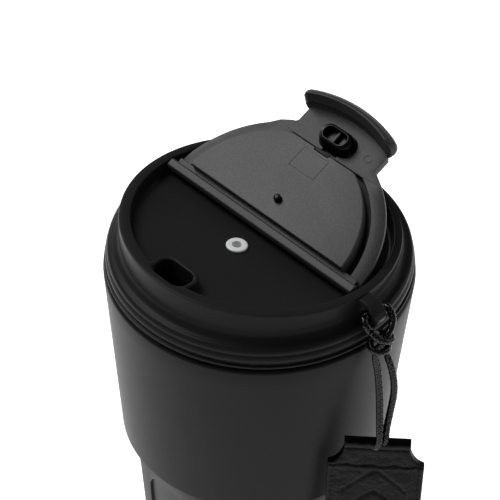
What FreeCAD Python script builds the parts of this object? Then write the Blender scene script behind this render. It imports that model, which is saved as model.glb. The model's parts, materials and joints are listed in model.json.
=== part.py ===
import FreeCAD, Part
import Sketcher
import math
import os
import re

# Insulated travel mug with a screw lid, a flip-up drinking flap and a lanyard tag.
# Origin: centre of the base. +Z up, -Y the drinking side, +X the lanyard side.

DOC = FreeCAD.newDocument("travel_mug")
SHEET = DOC.addObject("Spreadsheet::Sheet", "Sheet")
V = FreeCAD.Vector

DIMENSIONS = {
    # mug body
    "lid_seat": 152.0,          # height of the lid flange's lower edge
    "mouth_gap": 0.7,           # from the mouth's top face up to the flange
    "top_radius": 45.3,
    "top_round": 1.5,
    "taper": 0.0752,            # loss of radius per millimetre of height
    "step_height": 88.0,
    "step_radius": 40.6,
    "sleeve_radius": 37.7,
    "sleeve_wall": 2.2,
    "steel": 0.7,
    "foot_height": 5.0,
    "neck_radius": 38.0,
    "neck_wall": 1.0,
    "neck_depth": 24.0,
    "waist_radius": 31.6,
    "liner_floor": 12.0,
    "floor_radius": 27.0,
    "pad_radius": 30.9,
    "pad_chamfer": 1.0,
    "pad_web": 3.6,
    # grip recesses
    "recess_width": 20.0,
    "recess_top": 80.5,
    "recess_foot": 22.0,
    "recess_depth": 1.1,
    # screw thread
    "lead": 6.0,
    "thread_height": 8.0,
    "thread_width": 1.8,
    "skirt_radius": 36.0,
    "skirt_wall": 2.2,
    "skirt_bottom": 133.0,
    "skirt_top": 155.5,
    "skirt_crest": 37.0,
    "neck_crest": 36.7,
    "thread_bottom": 135.5,
    "thread_start": 30.0,       # degrees, bearing of both threads' lower ends
    # lid cover, heights above the lid seat
    "flange_radius": 45.0,
    "lip_height": 0.8,
    "bead_foot": 1.1,
    "bead_waist": 3.7,
    "bead_top": 6.7,
    "waist_in": 0.7,
    "bead_in": 2.4,
    "bead_round": 1.6,
    "sweep_round": 3.3,
    "wall_radius": 39.8,
    "wall_foot": 10.0,
    "rim_radius": 40.6,
    "rim_height": 13.95,
    "rim_tilt": 5.143,          # degrees, up towards the drinking side
    "well_radius": 37.6,
    "well_depth": 4.35,
    "well_offset": 0.75,
    "deck_wall": 2.4,
    "gasket_outer": 43.0,
    "gasket_inner": 38.9,
    "gasket_height": 2.0,
    "gasket_drop": 0.4,
    # drinking hole and vent
    "hole_y": 34.25,
    "hole_length": 12.1,
    "hole_width": 7.5,
    "hole_corner": 3.0,
    "boss_length": 14.9,
    "boss_width": 10.3,
    "boss_corner": 4.3,
    "boss_drop": 0.4,
    "vent_y": 9.45,
    "vent_flange": 3.5,
    "vent_neck": 2.9,
    "vent_bore": 2.2,
    "vent_rise": 0.7,
    # flap, in its own frame with the hinge axis as origin
    "hinge_y": 0.4,
    "hinge_height": 12.8,
    "open_angle": 23.24,
    "barrel_radius": 1.6,
    "barrel_half": 36.3,
    "pin_radius": 0.7,
    "pin_play": 0.05,
    "pin_inner": 28.0,
    "pin_outer": 39.0,
    "plane_drop": 0.7,
    "plate": 1.8,
    "ring_radius": 36.6,
    "ring_centre": -0.4,
    "ring_start": 2.2,
    "groove_radius": 32.1,
    "groove_depth": 0.9,
    "web_up": 0.8,
    "web_down": 0.6,
    "tab_half": 15.4,
    "tab_radius": 41.6,
    "lip_inner": 41.3,
    "lip_wall": 1.5,
    "lip_rise": 4.4,
    "lip_flare": 44.9,
    "lip_angle": 22.3,
    "panel_radius": 30.4,
    "panel_centre": 0.4,
    "panel_start": 2.8,
    "panel_chord": 28.0,
    "panel_rise": 3.1,
    "panel_round": 0.8,
    "corner_round": 6.0,
    "slot_half": 2.8,
    "slot_y": 28.0,
    "slot_width": 1.1,
    "plug_y": 33.9,
    "plug_length": 12.2,
    "plug_width": 7.0,
    "plug_corner": 3.0,
    "plug_base": 0.4,
    "plug_tip_length": 10.9,
    "plug_tip_width": 6.0,
    "plug_rise": 4.0,
    "nub_y": 8.8,
    "nub_radius": 1.65,
    "nub_rise": 1.8,
    "nub_tip": 1.0,
    # lanyard lug, cord and tag
    "lug_width": 4.5,
    "cord_diameter": 2.2,
    "knot_radius": 3.0,
    "knot_half": 4.2,
    "tag_top": 33.2,
    "tag_plane": 38.4,
    "tag_centre": 36.5,
    "tag_bearing": 42.7,        # degrees, from +X to the tag's long face
    "tag_head": 9.6,
    "tag_half": 14.0,
    "tag_neck": 3.0,
    "tag_shoulder": 9.5,
    "tag_length": 47.0,
    "tag_corner": 5.0,
    "tag_skin": 1.3,
}

for row, (alias, number) in enumerate(DIMENSIONS.items(), start=1):
    SHEET.set("A%d" % row, alias)
    SHEET.set("B%d" % row, str(number))
    SHEET.setAlias("B%d" % row, alias)
DOC.recompute()

PIECES = []


def size(alias):
    return float(SHEET.get(alias))


def bound(text):
    """Prefix each alias in an expression with the sheet's name."""
    return re.sub(r"[a-z_]+", lambda word: ("Sheet." if word[0] in DIMENSIONS else "") + word[0], text)


def value(text):
    result = SHEET.evalExpression(bound(text))
    return float(getattr(result, "Value", result))


def keep(item, label):
    item.Label = label
    PIECES.append(item)
    return item


def origin_plane(body, role):
    return next(o for o in body.Origin.OriginFeatures if o.Role == role)


# ---------------------------------------------------------------- sketch helpers

def arc_centre(start, end, radius, left):
    """Centre of the arc from start to end that bulges to the left or right of its chord."""
    chord = end - start
    middle = (start + end) * 0.5
    normal = V(-chord.y, chord.x, 0).normalize()
    reach = math.sqrt(max(radius ** 2 - (chord.Length / 2) ** 2, 0))
    return middle - normal * reach if left else middle + normal * reach


def outline_sketch(body, role, outline):
    """Closed sketch from (x, y, radius, bulge) corners; radius is that of the edge leaving it."""
    sketch = body.newObject("Sketcher::SketchObject", "outline")
    sketch.AttachmentSupport = [(origin_plane(body, role), "")]
    sketch.MapMode = "FlatFace"
    corners = [(item + (None, None))[:4] for item in outline]
    points = [V(value(x), value(y), 0) for x, y, _, _ in corners]
    count = len(points)
    ends = []
    for index, (_, _, radius, bulge) in enumerate(corners):
        start, end = points[index], points[(index + 1) % count]
        if radius is None:
            sketch.addGeometry(Part.LineSegment(start, end), False)
            ends.append((1, 2))
            continue
        centre = arc_centre(start, end, value(radius), bulge == "left")
        circle = Part.Circle(centre, V(0, 0, 1), value(radius))
        first, second = (start, end) if bulge == "right" else (end, start)
        arc = Part.ArcOfCircle(circle, circle.parameter(first), circle.parameter(second))
        sketch.addGeometry(arc, False)
        ends.append((1, 2) if bulge == "right" else (2, 1))
    for index in range(count):
        following = (index + 1) % count
        link = Sketcher.Constraint("Coincident", index, ends[index][1], following, ends[following][0])
        sketch.addConstraint(link)
    for index, (x, y, radius, _) in enumerate(corners):
        for kind, text, number in (("DistanceX", x, points[index].x), ("DistanceY", y, points[index].y)):
            spot = sketch.addConstraint(Sketcher.Constraint(kind, -1, 1, index, ends[index][0], number))
            sketch.setExpression("Constraints[%d]" % spot, bound(text))
        if radius is not None:
            spot = sketch.addConstraint(Sketcher.Constraint("Radius", index, value(radius)))
            sketch.setExpression("Constraints[%d]" % spot, bound(radius))
    return sketch


def revolved(name, outline, angle="360", start="0"):
    """Body turned about its own Z axis from an outline in (radius, height)."""
    body = DOC.addObject("PartDesign::Body", name)
    sketch = outline_sketch(body, "XZ_Plane", outline)
    turn = body.newObject("PartDesign::Revolution", "turn")
    turn.Profile = sketch
    turn.ReferenceAxis = (sketch, ["V_Axis"])
    turn.Midplane = start == "middle"
    turn.setExpression("Angle", bound(angle))
    DOC.recompute()
    return body


def padded(name, role, outline, length, middle=False):
    body = DOC.addObject("PartDesign::Body", name)
    sketch = outline_sketch(body, role, outline)
    pad = body.newObject("PartDesign::Pad", "pad")
    pad.Profile = sketch
    pad.setExpression("Length", bound(length))
    pad.Midplane = middle
    DOC.recompute()
    return body


def rounded(body, radius, chosen):
    """Fillet the edges that the test chosen picks on the body's tip."""
    base = body.Tip
    names = ["Edge%d" % (i + 1) for i, e in enumerate(base.Shape.Edges) if chosen(e)]
    fillet = body.newObject("PartDesign::Fillet", "rounding")
    fillet.Base = (base, names)
    fillet.setExpression("Radius", bound(radius))
    DOC.recompute()
    return body


# ---------------------------------------------------------------- primitive helpers

def placed(item, x="0", y="0", z="0", turn=(0, 0, 1, 0)):
    """Place a primitive with bound coordinates and a turn of (axis x, y, z, degrees)."""
    item.Placement = FreeCAD.Placement(V(0, 0, 0), FreeCAD.Rotation(V(*turn[:3]), turn[3]))
    for axis, text in (("x", x), ("y", y), ("z", z)):
        item.setExpression("Placement.Base." + axis, bound(text))
    return item


def cylinder(name, radius, height, **place):
    item = DOC.addObject("Part::Cylinder", name)
    item.setExpression("Radius", bound(radius))
    item.setExpression("Height", bound(height))
    return placed(item, **place)


def cone(name, lower, upper, height, **place):
    item = DOC.addObject("Part::Cone", name)
    item.setExpression("Radius1", bound(lower))
    item.setExpression("Radius2", bound(upper))
    item.setExpression("Height", bound(height))
    return placed(item, **place)


def box(name, length, width, height, **place):
    item = DOC.addObject("Part::Box", name)
    item.setExpression("Length", bound(length))
    item.setExpression("Width", bound(width))
    item.setExpression("Height", bound(height))
    return placed(item, **place)


def cut(name, base, tool):
    item = DOC.addObject("Part::Cut", name)
    item.Base = base
    item.Tool = tool
    DOC.recompute()
    return item


def common(name, base, tool):
    item = DOC.addObject("Part::Common", name)
    item.Base = base
    item.Tool = tool
    DOC.recompute()
    return item


def fused(name, shapes):
    item = DOC.addObject("Part::MultiFuse", name)
    item.Shapes = shapes
    item.Refine = True
    DOC.recompute()
    return item


def rounded_block(name, length, width, corner, height, y, z):
    """Upright prism over a rectangle with rounded corners, long along X, centred on x = 0."""
    half, deep = "( " + length + " ) / 2", "( " + width + " ) / 2"
    inner, near = half + " - ( " + corner + " )", deep + " - ( " + corner + " )"
    body = padded(name, "XY_Plane", [
        ("-1 * ( " + inner + " )", "-1 * " + deep),
        (inner, "-1 * " + deep, corner, "right"),
        (half, "-1 * ( " + near + " )"),
        (half, near, corner, "right"),
        (inner, deep),
        ("-1 * ( " + inner + " )", deep, corner, "right"),
        ("-1 * " + half, near),
        ("-1 * " + half, "-1 * ( " + near + " )", corner, "right"),
    ], height)
    return placed(body, y=y, z=z)


def tube(name, outer, inner, height, z):
    """Upright ring of square section around the mug's axis."""
    outside = cylinder(name + "_outside", outer, height, z=z)
    inside = cylinder(name + "_inside", inner, height, z=z)
    return cut(name, outside, inside)


def solid(name, shape):
    item = DOC.addObject("Part::Feature", name)
    item.Shape = shape
    return item


def thread(name, root, crest, bottom):
    """Triangular helical ridge that stands off the root radius towards the crest radius."""
    sink = math.copysign(0.3, root - crest)
    half = size("thread_width") / 2
    helix = Part.makeHelix(size("lead"), size("thread_height"), root)
    outline = [(root + sink, -half), (crest, -half / 3), (crest, half / 3), (root + sink, half)]
    corners = [V(x, 0, z) for x, z in outline]
    section = Part.makePolygon(corners + corners[:1])
    sweep = Part.BRepOffsetAPI.MakePipeShell(helix)
    sweep.setFrenetMode(True)
    sweep.add(section)
    sweep.build()
    sweep.makeSolid()
    ridge = sweep.shape()
    ridge.rotate(V(0, 0, 0), V(0, 0, 1), size("thread_start"))
    ridge.translate(V(0, 0, bottom))
    return solid(name, ridge)


# ---------------------------------------------------------------- mug body

def lower_radius(height, extra=""):
    """Radius of the lower steel shell at a height, as an expression."""
    text = "( sleeve_radius - sleeve_wall - taper * ( step_height - " + height + " ) )"
    return text + extra


def make_mug():
    mouth = "( lid_seat - mouth_gap )"
    turned = "( " + mouth + " - top_round )"
    neck_outer = "( neck_radius + neck_wall )"
    shell = revolved("outer_shell", [
        (neck_outer, mouth),
        ("top_radius - top_round", mouth, "top_round", "left"),
        ("top_radius", turned),
        ("step_radius", "step_height"),
        (lower_radius("step_height"), "step_height"),
        (lower_radius("foot_height"), "foot_height"),
        (lower_radius("foot_height", " - steel"), "foot_height"),
        (lower_radius("step_height", " - steel"), "step_height + steel"),
        ("step_radius - steel", "step_height + steel"),
        ("top_radius - steel", turned + " - steel"),
        ("top_radius - steel", mouth + " - steel"),
        (neck_outer, mouth + " - steel"),
    ])
    keep(shell, "outer_shell")

    liner = revolved("liner_wall", [
        ("0", "liner_floor - steel"),
        ("floor_radius + steel", "liner_floor - steel"),
        ("waist_radius + steel", "step_height + steel"),
        (neck_outer, mouth + " - neck_depth"),
        (neck_outer, mouth),
        ("neck_radius", mouth),
        ("neck_radius", mouth + " - neck_depth"),
        ("waist_radius", "step_height + steel"),
        ("floor_radius", "liner_floor"),
        ("0", "liner_floor"),
    ])
    ridge = thread("neck_ridge", size("neck_radius"), size("neck_crest"), value("thread_bottom + lead / 2"))
    keep(fused("inner_liner", [liner, ridge]), "inner_liner")

    disc_radius = lower_radius("foot_height", " - steel")
    keep(cylinder("shell_base", disc_radius, "1.2 * steel", z="foot_height"), "shell_base")
    keep(cylinder("vacuum_seal", "4", "foot_height - pad_web - 0.2", z="pad_web + 0.2"), "vacuum_seal")
    keep(cylinder("vacuum_getter", "6", "1.5", x="12", z="foot_height + 1.2 * steel"), "vacuum_getter")

    pad = revolved("base_pad", [
        ("0", "0"),
        ("pad_radius - pad_chamfer", "0"),
        ("pad_radius", "pad_chamfer"),
        ("pad_radius", "foot_height - 0.3"),
        ("pad_radius - 1.8", "foot_height"),
        ("pad_radius - 6", "foot_height"),
        ("pad_radius - 6", "pad_web"),
        ("0", "pad_web"),
    ])
    keep(pad, "base_pad")


def make_sleeve():
    wall = revolved("sleeve_wall_blank", [
        (lower_radius("foot_height"), "foot_height"),
        (lower_radius("foot_height", " + sleeve_wall"), "foot_height"),
        (lower_radius("step_height", " + sleeve_wall - 0.4"), "step_height - 0.2"),
        (lower_radius("step_height"), "step_height - 0.2"),
    ])
    # conical band whose inner face is the floor of every recess
    floor = cone("recess_floor", lower_radius("0", " + sleeve_wall - recess_depth"),
                 lower_radius("step_height", " + sleeve_wall - recess_depth"), "step_height")
    beyond = cylinder("recess_reach", "sleeve_radius + 5", "step_height")
    band = cut("recess_band", beyond, floor)
    arches = []
    count = 8
    half = size("recess_width") / 2
    spring = size("recess_top") - half
    for index in range(count):
        bearing = -90 + index * 360 / count
        post = Part.makeBox(60, 2 * half, spring - size("recess_foot"), V(0, -half, size("recess_foot")))
        crown = Part.makeCylinder(half, 60, V(0, 0, spring), V(1, 0, 0))
        arch = post.fuse(crown).removeSplitter()
        arch.rotate(V(0, 0, 0), V(0, 0, 1), bearing)
        arches.append(arch)
    tool = solid("arch_tools", Part.makeCompound(arches))
    recesses = common("recesses", band, tool)
    keep(cut("grip_sleeve", wall, recesses), "grip_sleeve")


# ---------------------------------------------------------------- lid

def make_lid_cover():
    waist = "flange_radius - waist_in"
    shoulder = "flange_radius - bead_in"
    blank = revolved("cover_blank", [
        ("0", "lid_seat"),
        ("flange_radius", "lid_seat"),
        ("flange_radius", "lid_seat + lip_height"),
        ("flange_radius - 0.45", "lid_seat + bead_foot", "bead_round", "right"),
        (waist, "lid_seat + bead_waist", "bead_round + 0.4", "right"),
        (shoulder, "lid_seat + bead_top", "sweep_round", "left"),
        ("wall_radius", "lid_seat + wall_foot"),
        ("rim_radius", "lid_seat + rim_height"),
        ("rim_radius", "lid_seat + 20"),
        ("0", "lid_seat + 20"),
    ])
    tilt = (1, 0, 0, -size("rim_tilt"))
    above = box("above_rim", "200", "200", "40", x="-100", z="lid_seat + rim_height", turn=tilt)
    above.setExpression("Placement.Base.y", bound("-100 * cos(rim_tilt)"))
    above.setExpression("Placement.Base.z", bound("lid_seat + rim_height + 100 * sin(rim_tilt)"))
    trimmed = cut("cover_trimmed", blank, above)

    deck = "lid_seat + rim_height - well_depth"
    well = cylinder("well", "well_radius", "30", y="well_offset", z=deck, turn=tilt)
    below = cylinder("below_deck", "2 * skirt_radius", "40", y="-40 * sin(rim_tilt)",
                     z=deck + " - deck_wall - 40 * cos(rim_tilt)", turn=tilt)
    upright = cylinder("hollow_bound", "skirt_radius", "60", z="lid_seat - 30")
    hollow = common("cover_hollow", below, upright)
    ring = tube("gasket_groove", "gasket_outer", "gasket_inner", "gasket_height", "lid_seat - gasket_drop")
    carved = cut("cover_carved", trimmed, fused("cover_cuts", [well, hollow, ring]))

    block = rounded_block("spout_block", "boss_length", "boss_width", "boss_corner", "12", "-1 * hole_y",
                          "lid_seat + 8")
    block = common("spout_inside", block, cylinder("spout_bound", "rim_radius - 1.2", "40", z="lid_seat"))
    over = box("above_spout", "200", "200", "40", x="-100", y="-100 * cos(rim_tilt)",
               z="lid_seat + rim_height - boss_drop + 100 * sin(rim_tilt)", turn=tilt)
    boss = cut("spout_boss", block, over)
    body = fused("cover_with_boss", [carved, boss])
    hole = rounded_block("drink_hole", "hole_length", "hole_width", "hole_corner", "20", "-1 * hole_y",
                         "lid_seat + 4")
    vent = cylinder("vent_hole", "vent_neck", "20", y="-1 * vent_y - 10 * sin(rim_tilt)",
                    z=deck + " + ( vent_y + well_offset ) * tan(rim_tilt) - 10 * cos(rim_tilt)", turn=tilt)
    bores = [
        cylinder("pin_bore", "pin_radius", "pin_outer - 30", x=side, y="-1 * hinge_y",
                 z="lid_seat + hinge_height", turn=(0, 1, 0, 90))
        for side in ("30", "-1 * pin_outer")
    ]
    cover = cut("lid_cover", body, fused("cover_holes", [hole, vent] + bores))
    keep(cover, "lid_cover")

    skirt = tube("skirt_tube", "skirt_radius", "skirt_radius - skirt_wall", "skirt_top - skirt_bottom",
                 "skirt_bottom")
    ridge = thread("skirt_ridge", size("skirt_radius"), size("skirt_crest"), size("thread_bottom"))
    keep(fused("lid_skirt", [skirt, ridge]), "lid_skirt")

    seal = tube("lid_gasket", "gasket_outer", "gasket_inner", "gasket_height", "lid_seat - gasket_drop")
    keep(seal, "lid_gasket")

    grommet = revolved("vent_grommet", [
        ("vent_bore", "-1 * deck_wall - 0.8"),
        ("vent_flange - 0.2", "-1 * deck_wall - 0.8"),
        ("vent_flange - 0.2", "-1 * deck_wall - 0.1"),
        ("vent_neck", "-1 * deck_wall - 0.1"),
        ("vent_neck", "0"),
        ("vent_flange", "0"),
        ("vent_flange", "vent_rise - 0.3", "0.3", "right"),
        ("vent_flange - 0.3", "vent_rise"),
        ("vent_bore", "vent_rise"),
    ])
    placed(grommet, y="-1 * vent_y", z=deck + " + ( vent_y + well_offset ) * tan(rim_tilt)", turn=tilt)
    keep(grommet, "vent_grommet")

    for label, side in (("hinge_pin_right", "pin_inner"), ("hinge_pin_left", "-1 * pin_outer")):
        pin = cylinder(label, "pin_radius", "pin_outer - pin_inner", x=side, y="-1 * hinge_y",
                       z="lid_seat + hinge_height", turn=(0, 1, 0, 90))
        keep(pin, label)
    return cover


def make_lug(cover):
    seat = "lid_seat + "
    strap = padded("lug_strap", "XZ_Plane", [
        ("39.4", seat + "11.6"),
        ("43.2", seat + "11.4", "2.3", "left"),
        ("45.4", seat + "9.0", "3.4", "left"),
        ("43.6", seat + "6.6"),
        ("41.6", seat + "4.6"),
        ("43.6", seat + "4.6"),
        ("45.3", seat + "6.0", "4.6", "right"),
        ("47.6", seat + "9.4", "4.4", "right"),
        ("43.6", seat + "13.4"),
        ("39.4", seat + "13.6"),
    ], "lug_width", middle=True)
    keep(cut("lanyard_lug", strap, cover), "lanyard_lug")


# ---------------------------------------------------------------- flap

def on_flap(item, y="0", h="0"):
    """Place a piece given along the flap, with y from the hinge axis and h above the flap's plane."""
    angle = "open_angle"
    height = "( " + h + " - plane_drop )"
    item.Placement = FreeCAD.Placement(V(0, 0, 0), FreeCAD.Rotation(V(1, 0, 0), size(angle)))
    along = "-1 * hinge_y + ( " + y + " ) * cos(open_angle) - " + height + " * sin(open_angle)"
    rise = "lid_seat + hinge_height + ( " + y + " ) * sin(open_angle) + " + height + " * cos(open_angle)"
    item.setExpression("Placement.Base.y", bound(along))
    item.setExpression("Placement.Base.z", bound(rise))
    return item


def make_flap():
    disc = cylinder("ring_disc", "ring_radius", "plate", y="ring_centre", z="-1 * plate")
    ahead = box("ring_front", "200", "200", "plate", x="-100", y="ring_start", z="-1 * plate")
    ring = common("ring_plate", disc, ahead)
    sunk = cut("ring_sunk", ring, cylinder("ring_groove", "groove_radius", "groove_depth", y="ring_centre",
                                           z="-1 * groove_depth"))
    tab_block = box("tab_block", "2 * tab_half", "tab_radius - panel_chord", "plate", x="-1 * tab_half",
                    y="panel_chord", z="-1 * plate")
    tab = common("tab", tab_block, cylinder("tab_bound", "tab_radius", "plate", z="-1 * plate"))
    latch = box("latch_slot", "2 * slot_half", "slot_width", "plate", x="-1 * slot_half", y="slot_y",
                z="-1 * groove_depth")
    lip = revolved("tab_lip", [
        ("lip_inner - 0.4", "-1 * plate"),
        ("lip_inner + lip_wall - 0.9", "-1 * plate", "1.2", "right"),
        ("lip_inner + lip_wall", "-0.9"),
        ("lip_inner + lip_wall + 0.6", "lip_rise - 1.2", "1.8", "left"),
        ("lip_flare", "lip_rise"),
        ("lip_flare", "lip_rise + 0.9"),
        ("lip_inner + 1.2", "lip_rise + 0.6", "2.2", "right"),
        ("lip_inner + 0.6", "lip_rise - 1.2"),
        ("lip_inner", "0"),
        ("lip_inner - 0.4", "0"),
    ], angle="2 * lip_angle", start="middle")
    lip.Placement = FreeCAD.Placement(V(0, 0, 0), FreeCAD.Rotation(V(0, 0, 1), 90))
    web = box("hinge_web", "2 * barrel_half - 0.6", "panel_start + 1", "web_up + web_down",
              x="0.3 - barrel_half", y="-1", z="-1 * web_down")
    root = box("web_root", "2 * barrel_half - 4", "panel_start - 1.3", "plate - 0.6", x="2 - barrel_half",
               y="1.3", z="0.6 - plate")
    barrel = cylinder("barrel", "barrel_radius", "2 * barrel_half", x="-1 * barrel_half", z="plane_drop",
                      turn=(0, 1, 0, 90))
    bores = [
        cylinder("barrel_bore", "pin_radius + pin_play", "barrel_half - pin_inner + 1.5", x=side,
                 z="plane_drop", turn=(0, 1, 0, 90))
        for side in ("pin_inner - 1", "-1 * barrel_half - 0.5")
    ]
    whole = fused("flap_solid", [sunk, tab, lip, web, root, barrel])
    shell = cut("flap_shell", whole, fused("flap_holes", bores + [latch]))
    keep(on_flap(shell), "flap_shell")

    near = "sqrt(panel_radius ^ 2 - ( panel_start - panel_centre ) ^ 2 )"
    far = "sqrt(panel_radius ^ 2 - ( panel_chord - panel_centre ) ^ 2 )"
    panel = padded("flap_panel", "XY_Plane", [
        ("-1 * " + near, "panel_start"),
        (near, "panel_start", "panel_radius", "right"),
        (far, "panel_chord"),
        ("-1 * " + far, "panel_chord", "panel_radius", "right"),
    ], "panel_rise + groove_depth")
    top = size("panel_rise") + size("groove_depth")
    edge_line = size("panel_chord") - 1
    rounded(panel, "corner_round", lambda e: e.BoundBox.ZLength > 1 and e.CenterOfMass.y > edge_line)
    rounded(panel, "panel_round", lambda e: abs(e.CenterOfMass.z - top) < 0.01)
    keep(on_flap(panel, h="-1 * groove_depth"), "flap_panel")

    base = rounded_block("plug_foot", "plug_length", "plug_width", "plug_corner", "plug_base",
                         "plug_y", "0")
    tip = rounded_block("plug_tip", "plug_tip_length", "plug_tip_width", "plug_corner - 0.5",
                        "plug_rise - plug_base", "plug_y", "plug_base")
    dish = rounded_block("plug_dish", "plug_tip_length - 2.4", "plug_tip_width - 2.4", "plug_corner - 1.5",
                         "2", "plug_y", "plug_rise - 1.2")
    plug = cut("drink_plug", fused("plug_solid", [base, tip]), dish)
    keep(on_flap(plug), "drink_plug")

    nub = revolved("vent_stopper", [
        ("0", "0"),
        ("nub_radius", "0"),
        ("nub_tip", "nub_rise"),
        ("0", "nub_rise"),
    ])
    keep(on_flap(nub, y="nub_y", h="panel_rise"), "vent_stopper")


# ---------------------------------------------------------------- lanyard

def cord_path(points):
    """Straight runs joined by tangent arcs, each as large as its two runs allow."""
    edges = []
    start = points[0]
    for before, corner, after in zip(points, points[1:], points[2:]):
        first = (before - corner).normalize()
        second = (after - corner).normalize()
        half_turn = (math.pi - first.getAngle(second)) / 2
        trim = 0.45 * min((before - corner).Length, (after - corner).Length)
        radius = trim / math.tan(half_turn)
        enter = corner + first * trim
        leave = corner + second * trim
        towards = (first + second).normalize()
        middle = corner + towards * (radius / math.cos(half_turn) - radius)
        edges.append(Part.LineSegment(start, enter).toShape())
        edges.append(Part.Arc(enter, middle, leave).toShape())
        start = leave
    edges.append(Part.LineSegment(start, points[-1]).toShape())
    return Part.Wire(edges)


def cord(label, route):
    """Cord tube along a route given in millimetres, with heights above the lid seat."""
    points = [V(x, y, z + size("lid_seat")) for x, y, z in route]
    path = cord_path(points)
    radius = size("cord_diameter") / 2
    ring = Part.Wire(Part.makeCircle(radius, points[0], points[1] - points[0]))
    keep(solid(label, path.makePipeShell([ring], True, False)), label)


LOOP_ROUTE = [
    (48.6, 0.6, 5.0), (48.3, 3.7, 7.6), (45.9, 4.7, 10.2), (43.1, 2.6, 9.4),
    (43.0, -2.4, 9.3), (45.2, -4.9, 9.9), (47.6, -4.2, 7.4), (48.4, -2.0, 5.0),
]
LEFT_ROUTE = [
    (48.3, -1.6, -1.0), (49.8, -1.6, -8.4), (50.7, -2.4, -16.6), (51.7, -3.6, -25.0), (52.05, -4.23, -33.2),
]
RIGHT_ROUTE = [
    (49.4, -0.2, -1.0), (51.5, 0.7, -7.6), (53.0, 0.7, -15.4), (53.5, -1.3, -24.6), (53.75, -2.67, -33.2),
]


def tag_panel(label, inner):
    """Leather panel in the tag's own frame: X across, Z up, its inner face at y = inner."""
    panel = padded(label, "XZ_Plane", [
        ("-1 * tag_head", "0"),
        ("-1 * tag_head", "-1 * tag_neck"),
        ("-1 * tag_half", "-1 * tag_shoulder"),
        ("-1 * tag_half", "tag_corner - tag_length", "tag_corner", "right"),
        ("tag_corner - tag_half", "-1 * tag_length"),
        ("tag_half - tag_corner", "-1 * tag_length", "tag_corner", "right"),
        ("tag_half", "tag_corner - tag_length"),
        ("tag_half", "-1 * tag_shoulder"),
        ("tag_head", "-1 * tag_neck"),
        ("tag_head", "0"),
    ], "tag_skin")
    turn = FreeCAD.Rotation(V(0, 0, 1), size("tag_bearing"))
    panel.Placement = FreeCAD.Placement(V(0, 0, 0), turn)
    outward = "( tag_plane - " + inner + " )"
    across = "tag_centre * cos(tag_bearing) + " + outward + " * sin(tag_bearing)"
    along = "tag_centre * sin(tag_bearing) - " + outward + " * cos(tag_bearing)"
    panel.setExpression("Placement.Base.x", bound(across))
    panel.setExpression("Placement.Base.y", bound(along))
    panel.setExpression("Placement.Base.z", bound("lid_seat - tag_top"))
    keep(panel, label)


def make_lanyard():
    cord("lanyard_loop", LOOP_ROUTE)
    cord("lanyard_strand_left", LEFT_ROUTE)
    cord("lanyard_strand_right", RIGHT_ROUTE)
    knot = DOC.addObject("Part::Ellipsoid", "lanyard_knot")
    knot.setExpression("Radius1", bound("knot_half"))
    knot.setExpression("Radius2", bound("knot_radius"))
    knot.setExpression("Radius3", bound("knot_radius"))
    placed(knot, x="48.6", y="-1.0", z="lid_seat + 1.4")
    keep(knot, "lanyard_knot")
    tag_panel("tag_front", "0")
    tag_panel("tag_back", "tag_skin")


# ---------------------------------------------------------------- build and write

make_mug()
make_sleeve()
make_lug(make_lid_cover())
make_flap()
make_lanyard()
DOC.recompute()

faults = [o.Name for o in DOC.Objects if "Invalid" in o.State or "Error" in o.State]
for piece in PIECES:
    if piece.Shape.isNull() or not piece.Shape.isValid() or not piece.Shape.Solids:
        faults.append(piece.Label)
if faults:
    raise RuntimeError("failed objects: " + ", ".join(faults))

os.makedirs("parts", exist_ok=True)
for piece in PIECES:
    piece.Shape.exportStep("parts/" + piece.Label + ".step")
    bounds = piece.Shape.BoundBox
    print("%-22s %8.0f mm3  z %.1f..%.1f  solids %d" % (
        piece.Label, piece.Shape.Volume, bounds.ZMin, bounds.ZMax, len(piece.Shape.Solids)))
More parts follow.
